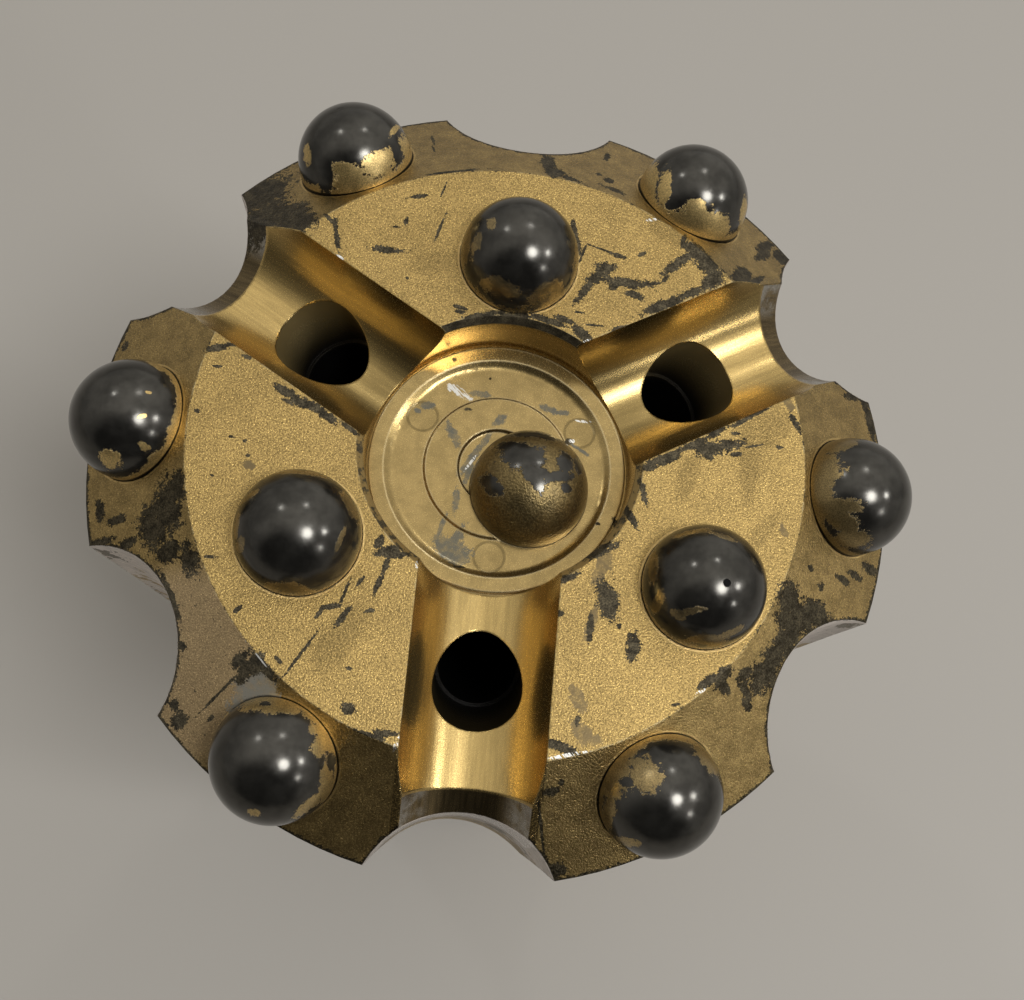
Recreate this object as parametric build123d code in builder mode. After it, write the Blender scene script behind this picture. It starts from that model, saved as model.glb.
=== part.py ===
"""Drop centre button bit for percussive rock drilling, 89 mm over the gauge buttons.

A single steel body carries ten hemispherical carbide buttons. It is turned, its face is
bored out to a dropped centre, three flushing channels and six side flutes are milled, and
a threaded socket for the drill rod is bored from the rear. The bit stands on the rear rim
of its skirt: the rim is the plane Z = 0, the face points up, and Z is the drilling axis.
"""
import os
from math import cos, radians, sin, tan

from build123d import *

os.makedirs("parts", exist_ok=True)

# Whole bit
bit_length = 130.0
gauge_dia = 89.2
overrun = 2.0

# Carbide buttons, all of one size, pressed into drilled seats
button_dia = 12.7
button_length = 19.5
button_stand = 0.5
button_foot_chamfer = 1.5
button_seat_gap = 0.01

# Head: flat face, bevel that carries the gauge buttons, and relieved side
gauge_relief = 1.15
bevel_width = 11.4
bevel_angle = 35.0
side_height = 26.0
side_relief_angle = 7.0
shoulder_relief_angle = 30.0
shoulder_crest_radius = 3.0
shoulder_root_radius = 9.0

# Skirt around the rod thread
skirt_wall = 9.2
skirt_rim_chamfer = 2.5

# Socket: root diameter of the female rope thread, and the bores at its two ends
thread_root_dia = 45.6
socket_depth = 84.0
socket_mouth_dia = 48.0
socket_mouth_depth = 7.0
socket_mouth_chamfer = 1.5
feeder_dia = 16.0
feeder_height = 8.0
drill_point_angle = 31.0

# Dropped centre, depths measured down from the face
recess_dia = 29.8
recess_rim_chamfer = 0.7
recess_depth = 7.2
ridge_dia = 27.8
ridge_depth = 6.35
ridge_edge = 0.15
ridge_crest_dia = 24.6
dish_dia = 23.0
dish_depth = 6.85
dish_radius = 1.0
boss_dia = 15.6
boss_depth = 6.5
boss_edge = 0.3
spot_dia = 8.2
spot_depth = 6.95
dimple_count = 3
dimple_circle_dia = 19.9
dimple_dia = 3.3
dimple_depth = 0.12

# Three flushing channels, each milled level and then down beside the bevel
channel_count = 3
channel_start_angle = 30.0
channel_dia = 14.44
channel_depth = 6.7
channel_turn_outset = 2.05

# Flushing holes, from the channel floors down to the feeder bore
flush_dia = 8.4
flush_mouth_dia = 9.2
flush_mouth_length = 4.6
flush_circle_dia = 46.4
flush_angle = 28.0

# Six flutes down the side of the head, one at each channel and one between
flute_count = 6
flute_dia = 21.6
flute_axis_outset = 3.8
flute_lean = 1.0

# Button positions
gauge_button_count = 6
face_button_angles = (90.0, 210.0, 330.0)
face_button_radii = (21.6, 22.4, 25.1)
centre_button_angle = 329.0
centre_button_radius = 4.2

# Heights and radii that follow from the sizes above
body_radius = gauge_dia / 2 - gauge_relief
face_radius = body_radius - bevel_width
skirt_radius = thread_root_dia / 2 + skirt_wall
bevel_foot = bit_length - bevel_width * tan(radians(bevel_angle))
side_foot = bevel_foot - side_height
side_foot_radius = body_radius - side_height * tan(radians(side_relief_angle))
shoulder_width = side_foot_radius - skirt_radius
shoulder_foot = side_foot - shoulder_width / tan(radians(shoulder_relief_angle))
shoulder_length = shoulder_width / sin(radians(shoulder_relief_angle))
crest_run = shoulder_crest_radius * tan(radians((shoulder_relief_angle - side_relief_angle) / 2))
root_radius_limit = (shoulder_length - crest_run) / tan(radians(shoulder_relief_angle / 2))
mouth_radius = socket_mouth_dia / 2
socket_radius = thread_root_dia / 2
feeder_radius = feeder_dia / 2
feeder_top = socket_depth + feeder_height
recess_radius = recess_dia / 2
recess_wall_radius = recess_radius - recess_rim_chamfer
recess_floor = bit_length - recess_depth
ridge_radius = ridge_dia / 2
ridge_top = bit_length - ridge_depth
dish_foot_radius = dish_dia / 2
dish_floor = bit_length - dish_depth
boss_radius = boss_dia / 2
boss_top = bit_length - boss_depth
spot_radius = spot_dia / 2
spot_floor = bit_length - spot_depth
button_radius = button_dia / 2
button_seat_depth = button_length - button_radius - button_stand


def around(radius, angle, height):
    """Point at a radius and a polar angle around the bit's axis, at a height."""
    return (radius * cos(radians(angle)), radius * sin(radians(angle)), height)


def leaning_plane(radius, angle, height, lean):
    """Plane at a point around the axis, its normal leaning outward from Z by an angle."""
    return Plane(
        origin=around(radius, angle, height),
        x_dir=around(1, angle + 90, 0),
        z_dir=around(sin(radians(lean)), angle, cos(radians(lean))),
    )


def half_section_plane(seat):
    """Plane that holds a seat's normal as its local Y, to draw what is turned around it."""
    return Plane(origin=seat.origin, x_dir=seat.x_dir, z_dir=-seat.y_dir)


# Seats: where each button's axis meets the steel, with the axis as the plane's normal
gauge_seat_radius = gauge_dia / 2 - button_radius - button_stand * sin(radians(bevel_angle))
gauge_seat_height = bit_length - (gauge_seat_radius - face_radius) * tan(radians(bevel_angle))
seats = {}
for number in range(gauge_button_count):
    seats[f"gauge_button_{number + 1}"] = leaning_plane(
        gauge_seat_radius, 360 * number / gauge_button_count, gauge_seat_height, bevel_angle
    )
for number, (angle, radius) in enumerate(zip(face_button_angles, face_button_radii)):
    seats[f"face_button_{number + 1}"] = leaning_plane(radius, angle, bit_length, 0)
seats["centre_button"] = leaning_plane(centre_button_radius, centre_button_angle, dish_floor, 0)

# Steel body
with BuildPart() as bit_body:
    # Turned blank: recess, face, bevel, relieved side, shoulder, skirt and stepped socket
    with BuildSketch(Plane.XZ) as blank:
        with BuildLine():
            Polyline(
                (0, recess_floor),
                (recess_wall_radius, recess_floor),
                (recess_wall_radius, bit_length - recess_rim_chamfer),
                (recess_radius, bit_length),
                (face_radius, bit_length),
                (body_radius, bevel_foot),
                (side_foot_radius, side_foot),
                (skirt_radius, shoulder_foot),
                (skirt_radius, skirt_rim_chamfer),
                (skirt_radius - skirt_rim_chamfer, 0),
                (mouth_radius + socket_mouth_chamfer, 0),
                (mouth_radius, socket_mouth_chamfer),
                (mouth_radius, socket_mouth_depth),
                (socket_radius, socket_mouth_depth + mouth_radius - socket_radius),
                (socket_radius, socket_depth),
                (feeder_radius, socket_depth),
                (feeder_radius, feeder_top),
                (0, feeder_top + feeder_radius * tan(radians(drill_point_angle))),
                close=True,
            )
        make_face()
        corners = blank.vertices()
        fillet(corners.sort_by_distance((side_foot_radius, side_foot))[0], shoulder_crest_radius)
        corners = blank.vertices()
        root = corners.sort_by_distance((skirt_radius, shoulder_foot))[0]
        fillet(root, min(shoulder_root_radius, root_radius_limit))
    revolve(axis=Axis.Z)

    # Side flutes, milled with a slight lean towards the axis until they run out in the shoulder
    for number in range(flute_count):
        angle = channel_start_angle + 360 * number / flute_count
        with BuildSketch(leaning_plane(body_radius + flute_axis_outset, angle, bevel_foot, flute_lean)):
            Circle(flute_dia / 2)
        extrude(amount=bevel_foot - shoulder_foot, both=True, mode=Mode.SUBTRACT)

    # Flushing channels: a round-nosed cutter makes a level pass and a pass down the bevel,
    # and the axes of the two passes cross outside the turn in the channel's floor
    channel_radius = channel_dia / 2
    turn_radius = face_radius + channel_turn_outset
    crossing_radius = turn_radius + channel_radius * tan(radians(bevel_angle / 2))
    crossing_height = bit_length - channel_depth + channel_radius
    for number in range(channel_count):
        angle = channel_start_angle + 360 * number / channel_count
        for fall in (0, bevel_angle):
            crossing = Plane(
                origin=around(crossing_radius, angle, crossing_height),
                x_dir=around(1, angle + 90, 0),
                z_dir=around(cos(radians(fall)), angle, -sin(radians(fall))),
            )
            with BuildSketch(crossing):
                Circle(channel_radius)
                with Locations((0, channel_radius / 2)):
                    Rectangle(channel_dia, channel_radius)
            extrude(amount=body_radius, both=True, mode=Mode.SUBTRACT)

    # Disc left standing in the dropped centre: ridge, shallow dish, boss and centre spot
    with BuildSketch(Plane.XZ) as disc:
        with BuildLine():
            Polyline(
                (0, recess_floor - overrun),
                (ridge_radius, recess_floor - overrun),
                (ridge_radius, ridge_top - ridge_edge),
                (ridge_radius - ridge_edge, ridge_top),
                (ridge_crest_dia / 2, ridge_top),
                (dish_foot_radius, dish_floor),
                (boss_radius + boss_edge, dish_floor),
                (boss_radius, boss_top),
                (spot_radius + boss_edge, boss_top),
                (spot_radius, spot_floor),
                (0, spot_floor),
                close=True,
            )
        make_face()
        fillet(disc.vertices().sort_by_distance((dish_foot_radius, dish_floor))[0], dish_radius)
    revolve(axis=Axis.Z)

    # Three shallow round dimples in the dish, in line with the channels
    dimple_radius = dimple_dia / 2
    for number in range(dimple_count):
        middle = around(dimple_circle_dia / 2, channel_start_angle + 360 * number / dimple_count, dish_floor)
        with BuildSketch(Plane(origin=middle, x_dir=(1, 0, 0), z_dir=(0, -1, 0))):
            with BuildLine():
                TangentArc((0, -dimple_depth), (dimple_radius, 0), tangent=(1, 0))
                Polyline((dimple_radius, 0), (dimple_radius, overrun), (0, overrun), (0, -dimple_depth))
            make_face()
        revolve(axis=Axis(middle, (0, 0, 1)), mode=Mode.SUBTRACT)

    # Flushing holes, leaning outward to the channels, each with a wider mouth
    flush_radius = flush_circle_dia / 2
    flush_length = flush_radius / sin(radians(flush_angle))
    for number in range(channel_count):
        angle = channel_start_angle + 360 * number / channel_count
        mouth = leaning_plane(flush_radius, angle, bit_length - channel_depth, flush_angle)
        with BuildSketch(mouth.offset(-flush_mouth_length)):
            Circle(flush_mouth_dia / 2)
        extrude(amount=flush_mouth_length + channel_depth, mode=Mode.SUBTRACT)
        with BuildSketch(mouth.offset(-flush_length)):
            Circle(flush_dia / 2)
        extrude(amount=flush_length, mode=Mode.SUBTRACT)

    # Button seats, drilled square to the steel with a tapered foot
    seat_radius = button_radius + button_seat_gap
    for seat in seats.values():
        with BuildSketch(half_section_plane(seat)):
            with BuildLine():
                Polyline(
                    (0, -button_seat_depth),
                    (seat_radius - button_foot_chamfer, -button_seat_depth),
                    (seat_radius, button_foot_chamfer - button_seat_depth),
                    (seat_radius, overrun),
                    (0, overrun),
                    close=True,
                )
            make_face()
        revolve(axis=Axis(seat.origin, seat.z_dir), mode=Mode.SUBTRACT)

bit_body.part.label = "bit_body"
export_step(bit_body.part, "parts/bit_body.step")

# Carbide buttons: a plain shank with a tapered foot and a hemispherical head
for name, seat in seats.items():
    with BuildPart() as button:
        with BuildSketch(half_section_plane(seat)):
            with BuildLine():
                shank = Polyline(
                    (0, -button_seat_depth),
                    (button_radius - button_foot_chamfer, -button_seat_depth),
                    (button_radius, button_foot_chamfer - button_seat_depth),
                    (button_radius, button_stand),
                )
                crown = CenterArc((0, button_stand), button_radius, 0, 90)
                Line(crown @ 1, shank @ 0)
            make_face()
        revolve(axis=Axis(seat.origin, seat.z_dir))
    button.part.label = name
    export_step(button.part, f"parts/{name}.step")
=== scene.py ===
from math import cos, pi, radians, sin, tan

import bpy
from mathutils import Matrix, Vector


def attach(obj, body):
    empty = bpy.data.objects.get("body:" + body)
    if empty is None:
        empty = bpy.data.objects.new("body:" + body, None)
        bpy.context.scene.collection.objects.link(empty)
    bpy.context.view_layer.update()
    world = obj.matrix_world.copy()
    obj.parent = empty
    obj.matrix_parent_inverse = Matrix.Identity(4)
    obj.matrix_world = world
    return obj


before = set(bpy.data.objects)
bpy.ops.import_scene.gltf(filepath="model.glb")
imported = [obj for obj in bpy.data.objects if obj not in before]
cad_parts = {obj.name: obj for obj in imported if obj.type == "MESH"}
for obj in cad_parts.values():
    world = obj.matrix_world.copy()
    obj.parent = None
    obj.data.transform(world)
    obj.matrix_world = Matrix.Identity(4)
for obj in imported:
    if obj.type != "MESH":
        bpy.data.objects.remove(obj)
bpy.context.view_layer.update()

mm = 0.001
scene = bpy.context.scene

# Camera. A phone held above the bit and a little to its front, looking down on the drilling
# face. Its place and lens come from a fit to the buttons, the face and the channels.
picture_width, picture_height = 1024, 1000
lens_pixels = 1296.8
centre_pixel = (540.4, 504.7)
face_height = 130.0
camera_place = Vector((-4.704, -42.225, face_height + 127.190))
camera_right = Vector((0.9922, 0.0804, 0.0950))
camera_down = Vector((0.1033, -0.9577, -0.2685))
sensor_width = 36.0

camera_data = bpy.data.cameras.new("camera")
camera = bpy.data.objects.new("camera", camera_data)
scene.collection.objects.link(camera)
scene.camera = camera
right = camera_right.normalized()
back = right.cross(-camera_down).normalized()
up = back.cross(right)
camera.matrix_world = Matrix.Translation(camera_place * mm) @ Matrix((right, up, back)).transposed().to_4x4()
camera_data.sensor_width = sensor_width
camera_data.lens = lens_pixels / picture_width * sensor_width
camera_data.shift_x = (picture_width / 2 - centre_pixel[0]) / picture_width
camera_data.shift_y = (centre_pixel[1] - picture_height / 2) / picture_width
camera_data.clip_start = 0.01
camera_data.clip_end = 20.0
scene.view_settings.view_transform = "Standard"


# Steel body. One turned, milled and drilled piece of alloy steel, sprayed all over with gold
# paint after its buttons were pressed in. The paint is sandy on the flat land and the bevel,
# smooth in the channels, and rubbed down to dark steel along edges and in ragged patches.
class Finish:
    """A node tree in short: each method adds the nodes of one step and hands on what they put out."""

    def __init__(self, tree):
        self.tree = tree

    def feed(self, socket, value):
        """Links a socket to another one, or sets its value."""
        if isinstance(value, bpy.types.NodeSocket):
            self.tree.links.new(value, socket)
        elif socket.type == "VECTOR":
            socket.default_value = tuple(value)[:3]
        else:
            socket.default_value = value

    def put(self, kind, *feeds, **settings):
        """Adds a node of one kind, with its settings, and feeds its inputs in order."""
        made = self.tree.nodes.new("ShaderNode" + kind)
        for name, value in settings.items():
            setattr(made, name, value)
        for socket, value in zip(made.inputs, feeds):
            self.feed(socket, value)
        return made

    def math(self, operation, *feeds):
        return self.put("Math", *feeds, operation=operation).outputs[0]

    def vector(self, operation, *feeds):
        made = self.put("VectorMath", *feeds, operation=operation)
        return made.outputs[1 if operation in ("LENGTH", "DOT_PRODUCT") else 0]

    def above(self, value, limit):
        return self.math("GREATER_THAN", value, limit)

    def below(self, value, limit):
        return self.math("LESS_THAN", value, limit)

    def both(self, *masks):
        """Product: 1 where every mask is 1."""
        mask = masks[0]
        for other in masks[1:]:
            mask = self.math("MULTIPLY", mask, other)
        return mask

    def either(self, *masks):
        """Greatest: 1 where any mask is 1."""
        mask = masks[0]
        for other in masks[1:]:
            mask = self.math("MAXIMUM", mask, other)
        return mask

    def outside(self, mask):
        """Mask that is 1 where the given one is 0."""
        return self.math("SUBTRACT", 1.0, mask)

    def smooth(self, value, start, end, low=0.0, high=1.0):
        """Goes softly from low, where the value is at the start, to high, where it is at the end."""
        return self.put("MapRange", value, start, end, low, high, interpolation_type="SMOOTHSTEP").outputs[0]

    def blend(self, mask, under, over):
        """Lays one colour over another where the mask is 1."""
        made = self.put("Mix", mask, data_type="RGBA")
        under_input, over_input, colour_output = made.inputs[6], made.inputs[7], made.outputs[2]
        self.feed(under_input, under)
        self.feed(over_input, over)
        return colour_output

    def shade(self, colour, amount):
        """Darkens a colour where the amount is under 1, and lightens it where that is over 1."""
        grey = self.put("CombineXYZ", amount, amount, amount).outputs[0]
        return self.vector("MULTIPLY", colour, grey)

    def shade_where(self, mask, colour, amount):
        """Shades a colour where the mask is 1, and leaves it as it is where the mask is 0."""
        return self.shade(colour, self.smooth(mask, 0.0, 1.0, 1.0, amount))

    def noise(self, place, scale, detail=2.0, roughness=0.5):
        """Cloudy noise, mostly from 0.3 to 0.7; the scale is in lumps to a unit of the place."""
        made = self.put("TexNoise")
        feeds = {"Vector": place, "Scale": scale, "Detail": detail, "Roughness": roughness}
        for name, value in feeds.items():
            self.feed(made.inputs[name], value)
        return made.outputs[0]

    def group(self, tree, **feeds):
        """Adds a node group and feeds its named inputs."""
        made = self.tree.nodes.new("ShaderNodeGroup")
        made.node_tree = tree
        for name, value in feeds.items():
            self.feed(made.inputs[name.replace("_", " ").capitalize()], value)
        return made.outputs


def new_group(name, inputs, outputs):
    """Shader node group with named sockets; gives its tree, its inputs and its output sockets."""
    tree = bpy.data.node_groups.new(name, "ShaderNodeTree")
    for side, sockets in (("INPUT", inputs), ("OUTPUT", outputs)):
        for socket, kind in sockets.items():
            tree.interface.new_socket(socket, in_out=side, socket_type="NodeSocket" + kind)
    return tree, tree.nodes.new("NodeGroupInput").outputs, tree.nodes.new("NodeGroupOutput").inputs


# Sprayed grain: the sand in the paint, as a height, a mask of painted glints and a change of tone
sprayed_grain, taken, given = new_group(
    "sprayed_grain",
    {"Place": "Vector", "Coarseness": "Float"},
    {"Height": "Float", "Painted glint": "Float", "Tone": "Float"},
)
grain = Finish(sprayed_grain)
pace = grain.math("DIVIDE", 1.0, taken["Coarseness"])
sand = grain.noise(taken["Place"], pace, 2.0, 0.6)
specks = grain.noise(taken["Place"], grain.math("MULTIPLY", pace, 1.7), 1.0, 0.5)
cloud = grain.noise(taken["Place"], 0.22, 3.0, 0.55)
grain.feed(given["Height"], sand)
# Painted glints: bright specks where the colour stands in for light glinting off the sand
grain.feed(given["Painted glint"], grain.smooth(specks, 0.62, 0.72))
sand_tone = grain.smooth(sand, 0.3, 0.7, 0.60, 1.27)
cloud_tone = grain.smooth(cloud, 0.25, 0.75, 0.88, 1.08)
grain.feed(given["Tone"], grain.math("MULTIPLY", sand_tone, cloud_tone))

# Ragged reach: how far a worn spot's edge wanders, as a share of the spot's size
ragged_reach, taken, given = new_group("ragged_reach", {"Place": "Vector"}, {"Reach": "Float"})
rag = Finish(ragged_reach)
wander = rag.math("MULTIPLY_ADD", rag.noise(taken["Place"], 0.7, 7.0, 0.78), 4.2, -2.1)
islands = rag.math("MULTIPLY_ADD", rag.noise(taken["Place"], 2.4, 5.0, 0.75), 2.4, -1.2)
rag.feed(given["Reach"], rag.math("ADD", wander, islands))

# Worn spot: an oval in the plane of the place that it is given; keeps the nearest of several
worn_spot, taken, given = new_group(
    "worn_spot",
    {"Place": "Vector", "Spread": "Vector", "Shift": "Vector", "Nearest": "Float"},
    {"Nearest": "Float"},
)
spot = Finish(worn_spot)
spot_place = spot.vector("MULTIPLY_ADD", taken["Place"], taken["Spread"], taken["Shift"])
spot.feed(given["Nearest"], spot.math("MINIMUM", spot.vector("LENGTH", spot_place), taken["Nearest"]))

# Spots turn in steps of so many degrees, so that all those of one step share its nodes
turn_step, half_turn = 15, 180
far_away = 100.0


def worn_places(finish, place, spots):
    """Share of the way out to the edge of the nearest spot: 0 in its middle, 1 at its edge."""
    turned = {}
    nearest = far_away
    for x, y, half_length, half_width, turn in spots:
        step = round(turn / turn_step) % (half_turn // turn_step)
        lean = radians(step * turn_step)
        if step not in turned:
            across = finish.vector("DOT_PRODUCT", place, (cos(lean), sin(lean), 0))
            upward = finish.vector("DOT_PRODUCT", place, (-sin(lean), cos(lean), 0))
            turned[step] = finish.put("CombineXYZ", across, upward).outputs[0]
        middle = (x * cos(lean) + y * sin(lean), y * cos(lean) - x * sin(lean))
        spread = (1 / half_length, 1 / half_width, 0)
        shift = (-middle[0] / half_length, -middle[1] / half_width, 0)
        feeds = {"place": turned[step], "spread": spread, "shift": shift, "nearest": nearest}
        nearest = finish.group(worn_spot, **feeds)[0]
    return nearest


# Sizes of the head, and where its buttons stand, in mm and degrees
face_radius, bevel_width, bevel_angle = 32.05, 11.4, 35.0
body_radius = face_radius + bevel_width
button_radius = 6.35
button_stand = 0.5
gauge_spacing = 60
gauge_seat_radius = 37.963
gauge_seat_height = 125.861
face_button_places = ((90, 21.6), (210, 22.4), (330, 25.1))
centre_button_turn, centre_button_radius = 329, 4.2
dish_depth = 6.85


def around(radius, degrees, height):
    """Point at a radius, a polar angle and a height."""
    return Vector((radius * cos(radians(degrees)), radius * sin(radians(degrees)), height))


ball_middles = {}
ball_axes = {}
gauge_lean = radians(bevel_angle)
for number in range(6):
    axis = around(sin(gauge_lean), gauge_spacing * number, cos(gauge_lean))
    seat = around(gauge_seat_radius, gauge_spacing * number, gauge_seat_height)
    ball_axes[f"gauge_button_{number + 1}"] = axis
    ball_middles[f"gauge_button_{number + 1}"] = seat + axis * button_stand
for number, (degrees, radius_out) in enumerate(face_button_places):
    ball_axes[f"face_button_{number + 1}"] = Vector((0, 0, 1))
    ball_middles[f"face_button_{number + 1}"] = around(radius_out, degrees, face_height + button_stand)
centre_height = face_height - dish_depth + button_stand
ball_axes["centre_button"] = Vector((0, 0, 1))
ball_middles["centre_button"] = around(centre_button_radius, centre_button_turn, centre_height)

# Worn places on the face, as seen from above in mm: x, y, half length, half width, turn in degrees
dark_spots = [
    # Land at the back
    (-14.3, 20.9, 1.6, 0.33, 0), (-12.5, 24.6, 0.45, 0.2, 75), (-13.5, 23.7, 0.3, 0.16, 0),
    (-8.8, 24.3, 1.4, 0.16, 75), (-11.6, 27.6, 1.0, 0.2, 15), (-8.9, 28.8, 0.8, 0.12, 75),
    (-19.7, 22.0, 1.9, 0.26, 105), (-20.7, 23.7, 0.7, 0.2, 135), (-5.7, 15.2, 0.8, 0.22, 165),
    (-5.6, 14.7, 0.5, 0.2, 0), (-11.7, 17.9, 0.16, 0.14, 0), (6.8, 23.1, 1.1, 0.11, 75),
    (9.3, 23.8, 2.3, 0.11, 165), (10.8, 23.4, 0.8, 0.24, 165), (5.9, 25.2, 1.8, 0.25, 105),
    (7.3, 18.7, 1.4, 0.42, 60), (8.5, 20.6, 1.3, 0.62, 45), (9.5, 21.8, 1.0, 0.6, 15),
    (12.1, 20.3, 2.1, 0.55, 0), (10.5, 20.0, 0.8, 0.45, 45), (12.8, 19.0, 0.9, 0.4, 165),
    (14.9, 20.6, 0.9, 0.16, 15), (13.3, 23.9, 0.42, 0.26, 30), (16.0, 18.2, 2.6, 0.5, 30),
    (19.0, 20.0, 2.2, 0.45, 30), (21.3, 21.8, 1.5, 0.85, 45), (17.5, 23.5, 2.4, 0.5, 45),
    (19.2, 25.0, 1.4, 0.85, 135), (17.8, 26.3, 0.9, 0.24, 75), (20.6, 23.4, 2.3, 0.85, 135),
    (16.0, 21.3, 0.6, 0.25, 60), (11.3, 14.9, 0.9, 0.22, 30), (5.6, 15.1, 1.1, 0.3, 165),
    (3.5, 14.9, 2.0, 0.32, 165), (0.2, 15.0, 2.1, 0.24, 0), (-3.2, 14.6, 2.2, 0.34, 15),
    (7.4, 13.8, 1.3, 0.5, 135), (8.4, 14.9, 1.1, 0.12, 0), (7.0, 16.2, 0.5, 0.12, 0),
    # Land at the left
    (-30.2, 7.6, 1.1, 0.34, 15), (-29.0, 8.1, 0.7, 0.24, 15), (-27.1, 7.0, 0.5, 0.2, 165),
    (-22.3, 3.5, 1.4, 0.45, 150), (-20.4, 2.6, 1.8, 0.45, 165), (-18.2, 1.5, 1.7, 0.42, 150),
    (-22.3, 2.6, 0.6, 0.2, 150), (-16.0, 0.6, 1.4, 0.24, 150), (-31.2, 0.55, 0.26, 0.22, 0),
    (-27.4, -1.8, 0.26, 0.15, 0), (-26.0, -2.1, 0.2, 0.15, 0), (-25.5, -3.6, 0.22, 0.18, 0),
    (-28.7, -6.1, 0.2, 0.12, 0), (-27.6, -14.4, 0.6, 0.17, 0), (-29.9, 5.6, 0.5, 0.12, 0),
    (-11.3, -11.2, 0.9, 0.4, 75), (-10.3, -12.0, 1.2, 0.55, 15), (-9.1, -12.3, 1.0, 0.3, 15),
    (-10.4, -13.5, 0.8, 0.28, 75), (-10.9, -15.3, 1.1, 0.3, 75), (-12.7, -15.3, 0.8, 0.18, 60),
    (-14.1, -16.6, 1.2, 0.18, 75), (-15.3, -18.2, 0.9, 0.26, 15), (-16.3, -18.9, 0.7, 0.16, 60),
    (-14.1, -19.2, 1.2, 0.26, 60), (-11.4, -18.2, 0.5, 0.2, 15), (-17.6, -23.1, 2.5, 0.14, 60),
    (-12.4, -27.9, 0.65, 0.5, 0), (-10.0, -30.3, 1.6, 0.2, 165), (-8.5, -30.0, 1.2, 0.3, 0),
    (-24.2, -19.3, 0.5, 0.2, 45), (-19.7, -23.9, 0.4, 0.18, 135), (-12.8, -24.1, 0.3, 0.18, 0),
    # Land at the right
    (12.1, -14.8, 1.9, 1.05, 105), (14.9, -19.3, 1.3, 0.7, 90), (10.5, -17.8, 1.3, 0.3, 90),
    (13.4, -17.3, 0.25, 0.2, 0), (9.9, -27.1, 0.5, 0.25, 90), (8.5, -29.8, 1.6, 0.45, 165),
    (7.3, -16.6, 0.3, 0.25, 0), (22.7, -22.0, 1.1, 0.4, 45), (24.2, -21.1, 1.1, 0.5, 45),
    (19.6, -24.6, 0.4, 0.12, 15), (15.6, -0.2, 1.0, 0.5, 30), (17.2, 0.8, 1.9, 0.5, 30),
    (19.9, 2.6, 2.2, 0.4, 30), (21.8, 2.4, 1.6, 0.8, 15), (23.8, 3.1, 1.4, 0.55, 15),
    (21.8, 1.5, 0.5, 0.3, 0), (24.6, 2.1, 0.5, 0.22, 15), (22.4, 4.4, 1.3, 0.35, 30),
    (24.5, 4.4, 0.4, 0.16, 0), (25.0, 5.8, 1.2, 0.24, 30), (26.8, 7.1, 1.4, 0.24, 30),
    (30.8, 6.4, 1.2, 0.3, 120), (26.6, 3.3, 1.0, 0.12, 15), (29.3, 3.4, 0.35, 0.2, 0),
    (15.0, -3.0, 1.4, 0.3, 105), (13.9, -5.8, 1.3, 0.35, 120), (11.2, -9.6, 1.7, 0.5, 30),
    (8.0, -12.9, 1.1, 0.3, 30),
    # Dropped centre
    (-3.8, 6.25, 0.35, 0.16, 0), (-5.8, 11.8, 0.2, 0.18, 0), (-1.7, 10.2, 0.14, 0.13, 0),
    (11.3, -5.2, 0.18, 0.14, 0), (-3.0, -11.35, 0.5, 0.1, 0), (7.6, 3.9, 0.4, 0.3, 0),
]
# Worn places on the bevel: polar angle, radius, half length outward, half width around
bevel_spots = [
    (14.5, 42.8, 0.6, 2.8), (17.9, 41.0, 1.0, 0.4), (43.5, 42.4, 0.9, 1.5), (45.4, 39.8, 1.7, 0.45),
    (46.5, 41.6, 1.3, 0.7), (43.6, 34.0, 1.7, 0.95), (41.6, 35.8, 1.3, 0.35), (74.5, 34.8, 0.5, 0.5),
    (76.6, 35.3, 0.3, 0.3), (73.2, 33.3, 0.35, 1.4), (86.2, 35.0, 1.5, 0.75), (84.5, 33.2, 0.9, 1.1),
    (81.5, 32.6, 0.4, 1.4), (76.5, 39.5, 0.8, 0.3), (104.0, 32.3, 0.2, 2.6), (106.1, 39.4, 1.0, 0.14),
    (106.6, 37.4, 0.6, 0.12), (136.0, 41.2, 2.4, 3.9), (138.0, 37.8, 2.4, 3.0), (135.5, 35.4, 2.4, 1.9),
    (135.5, 33.4, 1.6, 1.6), (167.0, 42.4, 0.4, 0.5), (192.6, 41.8, 0.5, 1.1), (195.0, 39.9, 1.0, 0.45),
    (197.4, 42.2, 1.4, 0.45), (198.2, 36.0, 1.5, 2.2), (196.0, 34.2, 1.2, 2.8), (203.4, 35.0, 1.4, 1.0),
    (206.2, 33.2, 0.8, 1.6), (193.0, 33.0, 0.8, 1.6), (199.0, 39.0, 0.9, 0.5), (210.0, 36.3, 0.3, 2.6),
    (217.5, 37.6, 0.5, 0.5), (225.6, 42.0, 0.8, 0.8), (223.4, 41.4, 0.5, 0.5), (228.6, 39.4, 0.5, 0.25),
    (227.0, 37.0, 2.6, 0.13), (225.7, 33.6, 1.1, 0.5), (227.9, 33.4, 1.5, 0.8), (229.5, 32.4, 0.4, 1.6),
    (283.2, 42.4, 0.6, 0.9), (283.6, 34.9, 0.4, 1.0), (285.2, 34.2, 0.3, 0.3), (281.4, 38.0, 2.8, 0.16),
    (319.4, 36.2, 0.8, 0.4), (320.4, 34.9, 1.3, 0.4), (322.2, 33.9, 0.6, 0.8), (325.0, 35.6, 1.3, 1.7),
    (328.0, 35.3, 1.2, 2.1), (332.4, 35.4, 1.2, 2.0), (336.6, 35.2, 2.4, 1.8), (338.6, 37.0, 2.4, 1.3),
    (338.0, 33.5, 1.5, 1.6), (334.0, 34.0, 1.1, 0.9), (317.6, 33.3, 0.7, 0.5), (318.2, 32.5, 0.4, 0.9),
    (343.4, 36.5, 0.4, 0.4), (345.1, 34.6, 0.3, 0.3), (350.6, 42.0, 1.1, 0.5), (348.4, 40.3, 0.9, 0.4),
    (346.6, 38.9, 0.8, 0.4),
]
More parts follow.
